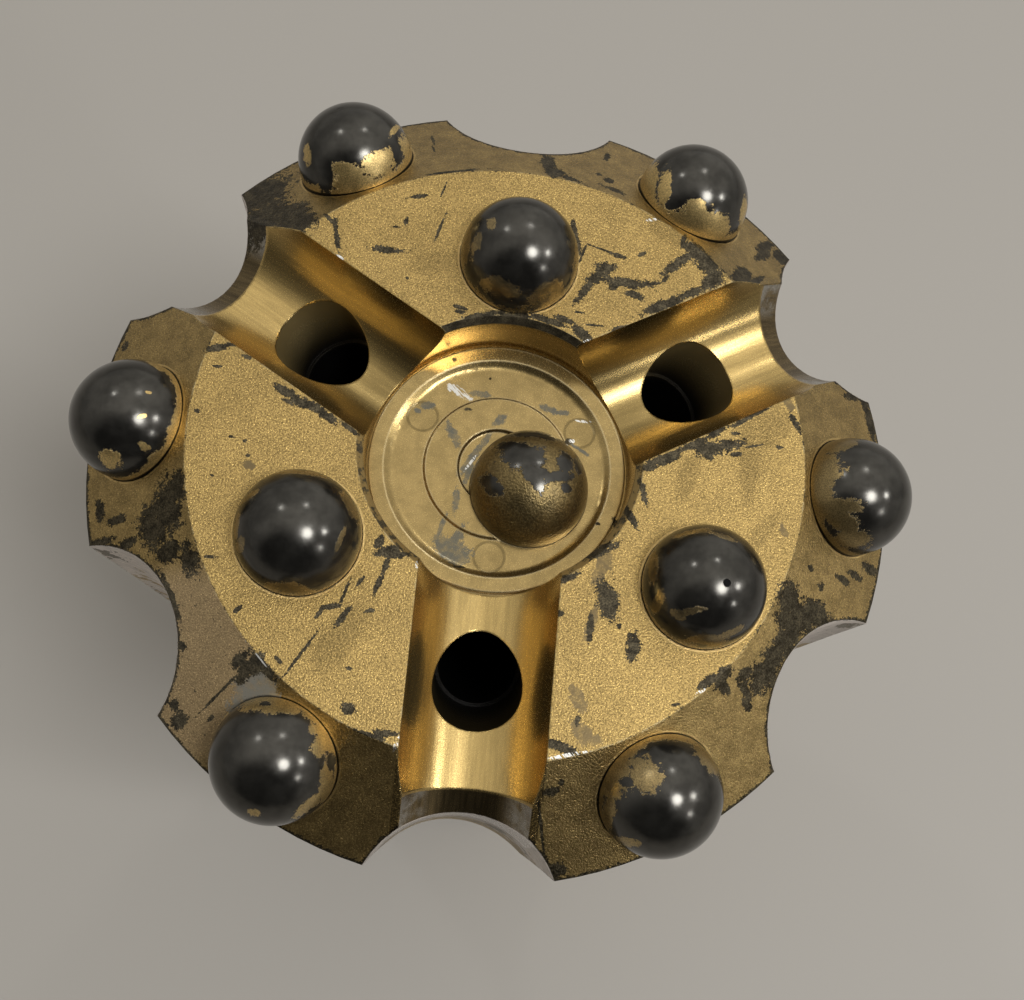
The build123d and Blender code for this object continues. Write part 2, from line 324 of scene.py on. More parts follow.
# Rubbed places, where the paint is thin and grey steel shows through
rubbed_spots = [
    (-2.8, 8.3, 1.1, 0.34, 0), (-8.2, 6.3, 0.8, 0.36, 15), (-9.2, 5.6, 0.35, 0.25, 0),
    (-5.1, 3.2, 1.2, 0.5, 120), (-0.2, 5.4, 0.8, 0.36, 45), (5.3, 7.3, 1.0, 0.34, 165),
    (6.8, 7.2, 0.6, 0.26, 0), (8.8, 3.1, 1.4, 0.18, 150), (-4.1, -4.3, 1.3, 0.3, 90),
    (-5.3, -7.0, 1.3, 0.2, 75), (-4.1, -9.4, 1.8, 1.0, 165), (-3.8, -8.4, 1.4, 0.5, 60),
    (-3.1, -10.2, 1.1, 0.75, 0), (-2.5, 1.4, 2.6, 0.36, 60), (-3.1, -1.0, 1.2, 0.26, 75),
    (11.3, -11.2, 1.9, 0.7, 75), (10.6, -17.2, 1.7, 0.4, 75), (9.8, -25.0, 1.3, 0.65, 120),
    (10.5, -28.3, 1.4, 0.75, 135), (11.7, -28.9, 0.7, 0.5, 0), (-25.2, -4.6, 0.7, 0.34, 165),
    (27.6, 8.0, 0.9, 0.24, 30), (30.1, 8.3, 0.8, 0.45, 135), (29.9, -5.6, 0.8, 0.3, 120),
    (-21.5, -26.8, 2.2, 1.5, 150), (-22.9, -28.4, 1.5, 1.2, 60),
]
# Scraped places, down to bright steel, and one painted highlight
bright_spots = [
    (-4.8, 8.2, 1.3, 0.4, 150), (-5.9, 8.6, 0.4, 0.34, 0), (-2.9, 0.4, 0.9, 0.13, 60),
    # (8.9, 6.4) is the painted highlight: a bright crescent on the back rim of the dimple at 30 degrees
    (8.9, 6.4, 0.8, 0.12, 0), (7.9, 4.0, 0.26, 0.2, 0), (9.2, -30.5, 2.0, 0.16, 15),
    (-7.45, -30.9, 0.7, 0.2, 75), (14.1, 28.2, 0.6, 0.14, 15), (-19.0, 19.4, 0.4, 0.12, 150),
    (7.9, 12.95, 0.4, 0.12, 30), (-21.3, -24.1, 0.8, 0.06, 135), (-22.8, -22.6, 0.4, 0.05, 135),
    (22.0, -23.1, 0.5, 0.14, 30), (-7.3, -13.1, 0.35, 0.2, 90),
]
# Softly darkened places on the land
soft_dark_spots = [
    (26.0, 1.0, 5.0, 1.3, 90), (27.6, 5.0, 4.0, 2.2, 30), (19.5, -1.0, 3.0, 1.2, 75),
    (27.8, -6.0, 3.0, 1.0, 60), (-14.0, -21.0, 5.0, 2.0, 60), (-9.0, 20.0, 3.0, 1.6, 15),
    (16.0, 27.0, 4.0, 1.4, 150),
]
for polar, radius_out, half_length, half_width in bevel_spots:
    turn = radians(polar)
    dark_spots.append((radius_out * cos(turn), radius_out * sin(turn), half_length, half_width, polar))

# Sizes of the channels, the flutes and the recess, in mm and degrees, and spans of their repeats
channel_depth, channel_radius = 6.7, 7.22
channel_turns = (30, 150, 270)
channel_half_span, flute_half_span = pi / 3, pi / 6
flute_axis_radius, flute_radius, flute_lean = 47.25, 10.8, 1.0
recess_radius, recess_depth, recess_chamfer = 14.2, 7.2, 0.7
disc_radius = 13.9
dimple_circle_radius, dimple_radius = 9.95, 1.65
bore_limit, feeder_top = 31.0, 95.0

# Colours of the paint in each zone, and of the steel under it; some also carry painted shade, reflection or
# highlight
land_gold = (0.366, 0.252, 0.088, 1)
bevel_gold = (0.345, 0.243, 0.095, 1)
channel_gold = (0.53, 0.38, 0.147, 1)
fall_brown_and_shade = (0.17, 0.125, 0.062, 1)
fall_grey = (0.36, 0.34, 0.30, 1)
disc_gold = (0.41, 0.297, 0.122, 1)
flute_grey_and_reflection = (0.66, 0.59, 0.53, 1)
hole_brown = (0.28, 0.21, 0.09, 1)
seat_line_and_shade_black = (0.004, 0.0035, 0.003, 1)
foot_gold = (0.62, 0.44, 0.18, 1)
bare_dark = (0.062, 0.051, 0.031, 1)
edge_dark = (0.045, 0.036, 0.022, 1)
edge_bright = (0.42, 0.35, 0.20, 1)
worn_gold_and_highlight = (0.66, 0.52, 0.27, 1)
dark_side = (0.12, 0.095, 0.055, 1)
bare_grey = (0.155, 0.147, 0.115, 1)
thin_paint = (0.17, 0.125, 0.06, 1)
chalk_gold = (0.37, 0.265, 0.135, 1)
pale_rub = (0.29, 0.275, 0.23, 1)
bare_bright = (0.75, 0.74, 0.70, 1)


def new_finish(name):
    """New material, its node tree in short, its Principled shader, and places on the piece in mm."""
    material = bpy.data.materials.new(name)
    material.use_nodes = True
    finish = Finish(material.node_tree)
    shader = material.node_tree.nodes["Principled BSDF"]
    object_place = finish.put("TexCoord").outputs["Object"]
    return material, finish, shader, finish.vector("MULTIPLY", object_place, (1 / mm, 1 / mm, 1 / mm))


gold_paint, coat, surface, place = new_finish("gold_paint_on_steel")
x, y, z = coat.put("SeparateXYZ", place).outputs
flat_place = coat.vector("MULTIPLY", place, (1, 1, 0))
radius = coat.vector("LENGTH", flat_place)
angle = coat.math("ARCTAN2", y, x)


def folded(half_span):
    """Distances along and across the nearest channel or flute, which repeat around the axis."""
    fold = coat.math("WRAP", coat.math("SUBTRACT", angle, radians(channel_turns[0])), half_span, -half_span)
    along = coat.math("MULTIPLY", radius, coat.math("COSINE", fold))
    return along, coat.math("MULTIPLY", radius, coat.math("SINE", fold))


# Gaps to the surfaces of the channels, the flutes and the bevel
along, across = folded(channel_half_span)
above_axis = coat.math("SUBTRACT", z, face_height - channel_depth + channel_radius)
channel_reach = coat.vector("LENGTH", coat.put("CombineXYZ", across, above_axis).outputs[0])
channel_gap = coat.math("SUBTRACT", channel_reach, channel_radius)
flute_along, flute_across = folded(flute_half_span)
bevel_foot = face_height - bevel_width * tan(radians(bevel_angle))
axis_shift = coat.math("MULTIPLY", coat.math("SUBTRACT", z, bevel_foot), tan(radians(flute_lean)))
flute_off = coat.math("SUBTRACT", coat.math("SUBTRACT", flute_along, axis_shift), flute_axis_radius)
flute_reach = coat.vector("LENGTH", coat.put("CombineXYZ", flute_off, flute_across).outputs[0])
bevel_drop = coat.math("MULTIPLY", coat.math("SUBTRACT", radius, face_radius), tan(radians(bevel_angle)))
bevel_gap = coat.math("ADD", coat.math("SUBTRACT", z, face_height), bevel_drop)

# Zones of the body, each a mask that is 1 on its own surface and, by the slack, just beside it
land_slack, flute_slack, zone_slack, channel_slack, wall_slack = 0.02, 0.04, 0.1, 0.12, 0.25
rim_width, head_margin = 0.9, 0.3
fall_start, fall_depth = 33.0, 12.0
on_land = coat.above(z, face_height - land_slack)
below_land = coat.below(z, face_height - land_slack)
beyond_face = coat.above(radius, face_radius)
on_bevel = coat.both(beyond_face, coat.math("COMPARE", bevel_gap, 0.0, zone_slack), below_land)
on_flute = coat.both(coat.below(flute_reach, flute_radius + flute_slack), beyond_face)
near_channel = coat.both(
    coat.math("COMPARE", across, 0.0, channel_radius + zone_slack),
    coat.above(radius, recess_radius + zone_slack),
)
on_channel = coat.both(near_channel, coat.below(channel_gap, channel_slack), below_land)
off_channel = coat.both(near_channel, coat.above(channel_gap, channel_slack))
in_hole = coat.both(off_channel, coat.below(radius, bore_limit))
on_fall = coat.both(off_channel, coat.above(radius, fall_start), coat.above(z, bevel_foot - fall_depth))
inside = coat.both(coat.below(radius, bore_limit), coat.below(z, feeder_top))
above_floor = coat.above(z, face_height - recess_depth - zone_slack)
on_disc = coat.both(coat.below(radius, disc_radius + zone_slack), above_floor)
on_recess_wall = coat.both(
    coat.math("COMPARE", radius, recess_radius + zone_slack, wall_slack), above_floor,
    coat.below(z, face_height - recess_chamfer),
)
on_rim = coat.both(
    coat.below(radius, recess_radius + rim_width), coat.above(radius, recess_radius + land_slack),
    coat.above(z, face_height - recess_chamfer - land_slack), below_land,
)
on_top = coat.above(z, bevel_foot - head_margin)
below_head = coat.outside(on_top)
sandy = coat.either(on_land, on_bevel, below_head)
smooth_paint = coat.either(on_channel, on_recess_wall, on_fall, on_disc)

# Paint in each zone. It is streaked along the channels, which have painted shade at the back: at
# their inner ends, and on the far wall of the right one. Their falls over the bevel are brown, from
# thin paint and painted shade, and grey.
drift = coat.noise(place, 0.35, 5.0, 0.7)
paint = coat.blend(on_land, bevel_gold, land_gold)
paint = coat.blend(on_disc, paint, disc_gold)
paint = coat.blend(coat.either(on_channel, on_recess_wall), paint, channel_gold)
streak_across = coat.math("MULTIPLY", across, 3.5)
streak_along = coat.math("MULTIPLY", along, 0.22)
streaks = coat.noise(coat.put("CombineXYZ", streak_across, streak_along, angle).outputs[0], 1.0, 3.0, 0.6)
paint = coat.shade_where(on_channel, paint, coat.smooth(streaks, 0.3, 0.7, 0.86, 1.1))
back_channels = coat.both(on_channel, coat.above(y, 0.0))
# Painted shade at the inner ends of the back channels
paint = coat.shade_where(back_channels, paint, coat.smooth(radius, 15.0, 24.0, 0.55, 1.0))
# Painted shade on the far wall of the right back channel
far_wall_painted_shade = coat.both(back_channels, coat.above(x, 0.0), coat.smooth(across, 0.5, 5.5))
paint = coat.shade_where(far_wall_painted_shade, paint, 0.6)
# The falls' dark brown is thin paint, darkened further as painted shade
fall_paint = coat.shade(fall_brown_and_shade, coat.smooth(streaks, 0.25, 0.75, 0.6, 1.35))
fall_worn = coat.both(coat.smooth(coat.math("ABSOLUTE", across), 3.4, 5.2), coat.smooth(drift, 0.35, 0.6))
fall_paint = coat.blend(fall_worn, fall_paint, fall_grey)
paint = coat.blend(coat.both(on_fall, coat.outside(on_bevel)), paint, fall_paint)

# Cloudy tone on the bevel and the disc, a chalky patch at the left, and painted shade on the three dimples
chalk_middle, chalk_inner, chalk_outer = (-30.0, -25.0, 0), 7.5, 11.5
mottle = coat.smooth(coat.noise(place, 0.55, 4.0, 0.65), 0.35, 0.65, 0.8, 1.14)
paint = coat.shade_where(coat.either(on_bevel, coat.math("MULTIPLY", on_disc, 0.6)), paint, mottle)
chalk_way = coat.vector("LENGTH", coat.vector("SUBTRACT", flat_place, chalk_middle))
chalky = coat.both(on_bevel, coat.smooth(chalk_way, chalk_outer, chalk_inner))
chalk_specks = coat.smooth(coat.noise(place, 1.7, 5.0, 0.8), 0.60, 0.66)
paint = coat.blend(chalky, paint, coat.blend(chalk_specks, chalk_gold, bare_dark))
dimples = []
for turn in channel_turns:
    dimple_x, dimple_y, _ = around(dimple_circle_radius, turn, 0)
    dimples.append((dimple_x, dimple_y, dimple_radius, dimple_radius, 0))
dimple_share = coat.math("SUBTRACT", worn_places(coat, flat_place, dimples), 1.0)
dimple_rim_painted_shade = coat.both(on_disc, coat.smooth(coat.math("ABSOLUTE", dimple_share), 0.14, 0.04))
# Painted shade: a dark ring on each dimple's rim, and a little shade inside it
paint = coat.shade_where(dimple_rim_painted_shade, paint, 0.62)
paint = coat.shade_where(coat.both(on_disc, coat.below(dimple_share, 0.0)), paint, 0.9)

# Sand in the paint, coarse on the land and the bevel and faint where the paint is smooth
coarseness = coat.math("MULTIPLY_ADD", sandy, 0.07, 0.12)
grain_height, painted_glint, tone = coat.group(sprayed_grain, place=place, coarseness=coarseness)
evenness = coat.smooth(sandy, 0.0, 1.0, 0.22, 1.0)
evenness = coat.math("MULTIPLY_ADD", on_bevel, -0.35, evenness)
tone = coat.math("ADD", coat.math("MULTIPLY", coat.math("SUBTRACT", tone, 1.0), evenness), 1.0)
# Painted glints: the colour is lit up to nearly three times at bright specks of the sand
paint = coat.shade(paint, coat.math("MULTIPLY_ADD", coat.both(painted_glint, evenness), 1.9, tone))

# Soft darkening on the land, and wear: ragged spots and patches, the back of the recess's rim,
# specks, and dark ragged lines beside the flutes and along the edge of the land
reach = coat.group(ragged_reach, place=place)[0]
reach = coat.math("ADD", reach, coat.math("MULTIPLY_ADD", grain_height, 1.2, -0.6))


def worn_mask(spots, raggedness, start=1.25, end=1.05):
    """Mask of ragged spots, which runs from 0 at one share of their size to 1 at another."""
    nearest = worn_places(coat, flat_place, spots)
    return coat.smooth(coat.math("MULTIPLY_ADD", reach, raggedness, nearest), start, end)


rim_back = 9.0
# Softly darkened places on the land, shaded to 0.76
soft_darkening = worn_mask(soft_dark_spots, 0.22, end=0.45)
paint = coat.shade_where(coat.both(soft_darkening, on_land), paint, 0.76)
speck_noise = coat.noise(place, 1.1, 4.0, 0.75)
wear_drift = coat.noise(place, 0.9, 4.0, 0.65)
dark = coat.both(worn_mask(dark_spots, 0.8), on_top)
worn_stretch = coat.either(coat.above(y, rim_back), coat.smooth(wear_drift, 0.5, 0.6))
rim_worn = coat.both(on_rim, coat.smooth(reach, -1.4, -0.9), worn_stretch)
dark = coat.either(dark, rim_worn, coat.both(on_top, coat.smooth(speck_noise, 0.70, 0.715)))
side_gap = coat.math("SUBTRACT", body_radius, radius)
outline_gap = coat.math("MINIMUM", side_gap, coat.math("SUBTRACT", flute_reach, flute_radius))
outline_rag = coat.smooth(coat.math("MULTIPLY_ADD", reach, 0.32, outline_gap), 0.34, 0.24)
dark = coat.either(dark, coat.both(on_bevel, outline_rag))
edge_gap = coat.math("ABSOLUTE", coat.math("SUBTRACT", radius, face_radius))
edge_rag = coat.smooth(coat.math("MULTIPLY_ADD", reach, 0.3, edge_gap), 0.05, -0.05)
dark = coat.either(dark, coat.both(edge_rag, on_top, coat.smooth(wear_drift, 0.46, 0.56)))
dark = coat.both(dark, coat.outside(coat.either(on_flute, on_channel)))
rubbed = coat.both(worn_mask(rubbed_spots, 0.7), on_top, coat.outside(on_channel))
bright = coat.both(worn_mask(bright_spots, 0.4), on_top, coat.outside(on_channel))

# Edges: a rounded normal for all of them, and where it turns far from the face, worn paint. On the
# disc's edges, the worn paint is also a painted highlight.
edge_round = 0.28 * mm
soft_normal = coat.put("Bevel", edge_round, samples=4).outputs[0]
hard_normal = coat.put("NewGeometry").outputs["Normal"]
turned_away = coat.vector("DOT_PRODUCT", soft_normal, hard_normal)
edge_wear = coat.smooth(coat.math("ADD", reach, coat.noise(place, 0.35)), 0.5, 0.85)
edge = coat.both(coat.smooth(turned_away, 0.99, 0.95), edge_wear)
disc_edge_wear_and_highlight = coat.both(coat.smooth(turned_away, 0.992, 0.97), on_disc)

# Flutes: rubbed to bare grey steel from the top down, with lines left by the cutter. The grey is
# made pale partly as a painted reflection of the floor.
flute_wear_top, flute_wear_pace = bevel_foot + 9.0, 0.012
flute_steel_and_reflection = coat.shade(flute_grey_and_reflection, coat.smooth(speck_noise, 0.66, 0.60, 0.25, 1.0))
cutter_place = coat.put("CombineXYZ", flute_across, flute_off, coat.math("MULTIPLY", z, 3.0)).outputs[0]
flute_steel_and_reflection = coat.shade(flute_steel_and_reflection, coat.smooth(coat.noise(cutter_place, 0.8, 2.0), 0.3, 0.7, 0.8, 1.1))
flute_down = coat.math("SUBTRACT", flute_wear_top, z)
kept = coat.math("MULTIPLY_ADD", flute_down, flute_wear_pace, coat.math("SUBTRACT", drift, 0.2))
bare_flute = coat.both(on_flute, coat.smooth(kept, 0.66, 0.60))
colour = coat.blend(bare_flute, paint, flute_steel_and_reflection)

# Side and skirt: stained, and rubbed to dark and then to grey
stains = coat.noise(coat.vector("MULTIPLY", place, (0.05, 0.05, 0.02)), 1.0, 6.0, 0.6)
colour = coat.shade_where(below_head, colour, coat.smooth(stains, 0.35, 0.65, 0.62, 1.12))
rubs = coat.noise(coat.vector("MULTIPLY", place, (0.14, 0.14, 0.09)), 1.0, 7.0, 0.72)
colour = coat.blend(coat.both(below_head, coat.smooth(rubs, 0.60, 0.62)), colour, dark_side)
colour = coat.blend(coat.both(below_head, coat.smooth(rubs, 0.665, 0.68)), colour, bare_grey)

# Foot of each button: a ragged ring of thicker paint, and the dark line of the seat
nearest_foot = far_away
for name, middle in ball_middles.items():
    from_middle = coat.vector("SUBTRACT", place, tuple(middle))
    to_axis = coat.vector("CROSS_PRODUCT", from_middle, tuple(ball_axes[name]))
    nearest_foot = coat.math("MINIMUM", coat.vector("LENGTH", to_axis), nearest_foot)
foot_gap = coat.math("SUBTRACT", nearest_foot, button_radius)
foot_rim = coat.both(coat.smooth(foot_gap, 0.34, 0.22), sandy, on_top, coat.smooth(reach, 0.6, 0.2))
colour = coat.blend(foot_rim, colour, foot_gold)
colour = coat.blend(coat.both(coat.smooth(foot_gap, 0.07, 0.05), on_top), colour, seat_line_and_shade_black)

# Wear laid over the paint: thinned places, worn edges, dark places and bright scratches. The worn
# edges of the disc are also a painted highlight.
deep_edge = 0.35
thinned = coat.blend(on_land, coat.blend(on_bevel, bare_grey, pale_rub), thin_paint)
colour = coat.blend(coat.both(rubbed, coat.smooth(wear_drift, 0.3, 0.6, 0.55, 1.0)), colour, thinned)
low_edge = coat.blend(on_disc, edge_dark, worn_gold_and_highlight)
edge_colour = coat.blend(coat.above(z, face_height - deep_edge), low_edge, edge_bright)
colour = coat.blend(coat.either(edge, disc_edge_wear_and_highlight), colour, edge_colour)
dark_sand = coat.smooth(grain_height, 0.3, 0.7, 0.45, 1.5)
dark_tone = coat.both(dark_sand, coat.smooth(wear_drift, 0.35, 0.65, 0.55, 1.45))
colour = coat.blend(dark, colour, coat.shade(bare_dark, dark_tone))
scratch_place = coat.put("CombineXYZ", coat.math("MULTIPLY", coat.math("ADD", x, y), 3.5), y).outputs[0]
scratched = coat.smooth(coat.noise(scratch_place, 1.0, 1.0), 0.42, 0.5)
# Bright marks: scratches to bare steel, and one painted highlight on a dimple's rim
colour = coat.blend(coat.both(bright, scratched), colour, bare_bright)

# Flushing holes, with painted shade: brighter toward the back and black in their depth; and the dark socket
hole_front, hole_back = -28.0, 12.0
hole_shaded_to_front = coat.shade(hole_brown, coat.smooth(y, hole_front, hole_back, 0.12, 1.0))
hole_painted_shade = coat.blend(coat.smooth(channel_gap, 0.5, 6.5), hole_shaded_to_front, seat_line_and_shade_black)
colour = coat.blend(in_hole, colour, hole_painted_shade)
colour = coat.blend(inside, colour, bare_dark)

# Gloss and relief: smoother in the channels and the recess, rougher where the steel is dark
sand_height = 0.08 * mm
rough = coat.smooth(smooth_paint, 0.0, 1.0, 0.44, 0.25)
rough = coat.math("MULTIPLY_ADD", on_bevel, -0.13, rough)
rough = coat.math("MULTIPLY_ADD", grain_height, 0.16, coat.math("SUBTRACT", rough, 0.08))
rough = coat.math("MULTIPLY_ADD", dark, 0.1, rough)
bump_strength = coat.smooth(sandy, 0.0, 1.0, 0.05, 1.0)
bump_strength = coat.math("MULTIPLY", bump_strength, coat.smooth(rubbed, 0.0, 1.0, 1.0, 0.3))
bump = coat.put("Bump", bump_strength, sand_height)
streaked = coat.both(on_channel, coat.math("MULTIPLY", streaks, 1.4))
coat.feed(bump.inputs["Height"], coat.math("ADD", grain_height, streaked))
coat.feed(bump.inputs["Normal"], soft_normal)
# Less metallic on the bare flutes, the chalky or rubbed bevel and the disc's edges, which lights up the
# disc's painted highlight
dull = coat.either(bare_flute, disc_edge_wear_and_highlight, coat.both(on_bevel, coat.either(chalky, rubbed)))
metal = coat.smooth(coat.either(smooth_paint, on_bevel), 0.0, 1.0, 0.80, 0.95)

coat.feed(surface.inputs["Base Color"], colour)
coat.feed(surface.inputs["Roughness"], rough)
coat.feed(surface.inputs["Normal"], bump.outputs[0])
coat.feed(surface.inputs["Metallic"], coat.math("MULTIPLY", metal, coat.smooth(dull, 0.0, 1.0, 1.0, 0.45)))
body_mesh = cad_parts["bit_body"].data
body_mesh.materials.clear()
body_mesh.materials.append(gold_paint)


# Rod thread. A left-hand rope thread cut in the socket wall, so its rounded ridge stands in
# from the root diameter, of the same steel as the body. It runs out at both ends.
socket_radius = 22.8
ridge_height, ridge_half_width, ridge_bedding = 2.3, 4.3, 0.12
thread_pitch = 12.7
thread_foot, thread_top = 13.0, 79.2
sections_per_turn, ridge_points = 72, 12
runout_turns = 0.4
thread_grey = (0.05, 0.047, 0.043, 1)
thread_coarseness, thread_metallic = 0.25, 0.85

turns = (thread_top - thread_foot) / thread_pitch
section_count = round(turns * sections_per_turn)
corners, faces = [], []
for section in range(section_count + 1):
    turn_number = section / sections_per_turn
    way = -2 * pi * turn_number
    middle_height = thread_foot + thread_pitch * turn_number
    end_share = min(1.0, min(turn_number, section_count / sections_per_turn - turn_number) / runout_turns)
    swell = ridge_bedding * 0.5 + ridge_height * end_share * end_share * (3 - 2 * end_share)
    for point in range(ridge_points + 1):
        bend = pi * (point / ridge_points - 0.5)
        reach_in = socket_radius + ridge_bedding - (swell + ridge_bedding) * cos(bend)
        lift = middle_height + ridge_half_width * sin(bend)
        corners.append((reach_in * cos(way) * mm, reach_in * sin(way) * mm, lift * mm))
row = ridge_points + 1
for section in range(section_count):
    for point in range(row):
        following = (point + 1) % row
        faces.append((
            section * row + point, section * row + following,
            (section + 1) * row + following, (section + 1) * row + point,
        ))
faces.append(tuple(range(row))[::-1])
faces.append(tuple(section_count * row + point for point in range(row)))
thread_mesh = bpy.data.meshes.new("rod_thread_ridge")
thread_mesh.from_pydata(corners, [], faces)
thread_mesh.update()
for face in thread_mesh.polygons:
    face.use_smooth = True
thread_ridge = bpy.data.objects.new("rod_thread_ridge", thread_mesh)
scene.collection.objects.link(thread_ridge)
thread_steel, oiled, thread_surface, thread_place = new_finish("thread_steel")
thread_grain = oiled.group(sprayed_grain, place=thread_place, coarseness=thread_coarseness)
oiled.feed(thread_surface.inputs["Base Color"], oiled.shade(thread_grey, thread_grain["Tone"]))
oiled.feed(thread_surface.inputs["Roughness"], oiled.smooth(thread_grain["Height"], 0.2, 0.8, 0.3, 0.5))
thread_surface.inputs["Metallic"].default_value = thread_metallic
thread_mesh.materials.append(thread_steel)
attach(thread_ridge, "root")


# Buttons. Ten plugs of sintered tungsten carbide, ground to a hemisphere and pressed into
# drilled seats. The gold spray caught their feet and sides, and has since rubbed off in rags.

# Overspray on each button, seen from above in shares of its radius: x, y, half sizes, turn
overspray = {
    "gauge_button_1": {
        "gold": [(-0.75, 0.1, 0.3, 0.62, 0), (-0.45, -0.42, 0.36, 0.13, 0), (-0.38, -0.62, 0.32, 0.13, 150),
                 (-0.12, -0.86, 0.34, 0.1, 0), (-0.4, 0.72, 0.45, 0.14, 30), (-0.75, -0.4, 0.2, 0.35, 0)],
        "bare": [(-0.38, -0.12, 0.21, 0.15, 0)],
    },
    "gauge_button_2": {
        "gold": [(-0.9, 0.0, 0.16, 0.6, 0), (-0.62, -0.2, 0.1, 0.34, 0), (-0.1, -0.78, 0.62, 0.26, 0),
                 (0.35, -0.76, 0.3, 0.2, 0), (-0.08, -0.52, 0.16, 0.08, 0), (0.86, -0.3, 0.08, 0.26, 0)],
        "bare": [(-0.42, -0.5, 0.14, 0.08, 0)],
    },
    "gauge_button_3": {
        "gold": [(0.15, -0.77, 0.55, 0.22, 0), (0.48, -0.42, 0.4, 0.17, 45), (0.86, 0.05, 0.1, 0.36, 0),
                 (-0.78, -0.3, 0.2, 0.06, 105), (-0.1, -0.62, 0.26, 0.1, 0), (0.66, 0.3, 0.22, 0.04, 75)],
        "bare": [(0.76, -0.12, 0.08, 0.16, 0), (-0.38, -0.74, 0.12, 0.2, 0)],
    },
    "gauge_button_4": {
        "gold": [(0.38, 0.85, 0.32, 0.1, 150), (0.74, 0.5, 0.3, 0.06, 105), (0.38, 0.2, 0.05, 0.03, 0),
                 (0.36, -0.2, 0.06, 0.035, 30), (-0.1, -0.83, 0.2, 0.1, 0), (0.4, -0.62, 0.08, 0.05, 0),
                 (0.84, -0.1, 0.07, 0.5, 0), (0.6, -0.7, 0.25, 0.06, 45)],
        "bare": [(0.2, -0.78, 0.14, 0.12, 0)],
    },
    "gauge_button_5": {
        "gold": [(-0.1, 0.74, 0.5, 0.13, 0), (0.72, 0.24, 0.12, 0.2, 0), (0.62, 0.46, 0.12, 0.1, 0),
                 (0.86, -0.3, 0.1, 0.34, 0), (0.62, -0.66, 0.26, 0.06, 45), (-0.15, -0.83, 0.11, 0.05, 0),
                 (0.5, 0.72, 0.35, 0.12, 135)],
        "bare": [(-0.2, 0.76, 0.1, 0.05, 0), (0.9, 0.0, 0.06, 0.12, 0)],
    },
    "gauge_button_6": {
        "gold": [(-0.4, 0.2, 0.23, 0.27, 0), (-0.8, 0.2, 0.2, 0.42, 0), (0.62, 0.56, 0.32, 0.16, 135),
                 (0.1, 0.9, 0.6, 0.12, 0), (-0.84, -0.4, 0.08, 0.3, 0), (-0.5, -0.78, 0.16, 0.06, 165),
                 (-0.5, 0.7, 0.4, 0.12, 45)],
        "bare": [(-0.66, 0.08, 0.1, 0.08, 0)],
    },
    "face_button_1": {
        "gold": [(-0.92, 0.0, 0.08, 0.4, 0), (-0.55, 0.12, 0.08, 0.12, 0), (-0.3, -0.8, 0.36, 0.08, 165),
                 (0.5, -0.78, 0.36, 0.1, 30), (0.93, -0.2, 0.06, 0.4, 0), (-0.75, -0.2, 0.08, 0.22, 0)],
        "bare": [(-0.72, -0.35, 0.06, 0.08, 0)],
    },
    "face_button_2": {
        "gold": [(-0.1, 0.82, 0.5, 0.06, 0), (-0.72, 0.36, 0.2, 0.06, 30), (-0.88, -0.1, 0.05, 0.2, 0),
                 (-0.78, -0.4, 0.08, 0.1, 0), (0.72, -0.2, 0.24, 0.03, 75), (0.78, 0.4, 0.26, 0.07, 120),
                 (0.0, -0.94, 0.5, 0.05, 0)],
        "bare": [(-0.15, 0.68, 0.12, 0.04, 0)],
    },
    "face_button_3": {
        "gold": [(-0.35, 0.72, 0.26, 0.06, 15), (0.1, 0.66, 0.2, 0.05, 165), (-0.9, 0.2, 0.06, 0.36, 0),
                 (-0.8, -0.4, 0.07, 0.15, 0), (-0.34, -0.58, 0.2, 0.05, 15), (0.32, -0.82, 0.26, 0.05, 30),
                 (0.0, -0.92, 0.34, 0.06, 0), (-0.5, -0.62, 0.14, 0.06, 150)],
        "bare": [],
    },
    "centre_button": {
        "gold": [(0.0, 0.0, 1.4, 1.4, 0)],
        "bare": [(-0.2, 0.3, 0.36, 0.26, 0), (-0.02, -0.06, 0.34, 0.13, 135), (0.14, 0.0, 0.2, 0.09, 150),
                 (0.5, 0.26, 0.14, 0.24, 0), (0.42, 0.02, 0.24, 0.09, 15), (0.56, -0.16, 0.1, 0.08, 0),
                 (0.0, 0.78, 0.55, 0.12, 0), (-0.66, -0.22, 0.25, 0.12, 135), (0.76, 0.36, 0.09, 0.18, 0),
                 (-0.45, 0.5, 0.16, 0.1, 0)],
    },
}
# How thin, dark, sandy and coarse the overspray is, on the buttons that differ from the rest
thin_spray = {
    "gauge_button_1": 0.8, "gauge_button_5": 0.8, "gauge_button_6": 0.7,
    "face_button_1": 0.5, "face_button_2": 0.5, "face_button_3": 0.45,
}
spray_tone = {"centre_button": 0.36, "gauge_button_1": 0.62, "gauge_button_6": 0.8}
spray_sand = {"centre_button": 2.4}
spray_coarseness = {"centre_button": 0.24}
# Pit in a button, seen from above in shares of its radius: x, y, half size
pits = {"face_button_3": (0.15, -0.13, 0.06)}

carbide_dark = (0.065, 0.062, 0.055, 1)
overspray_gold = (0.55, 0.40, 0.165, 1)
seat_dark = (0.01, 0.008, 0.005, 1)
pit_black = (0.006, 0.006, 0.006, 1)
foot_band, seat_line_height, line_blur = 0.07, -0.066, 0.01
carbide_metallic = 0.85
dent_strength, dent_depth = 0.6, 0.05 * mm


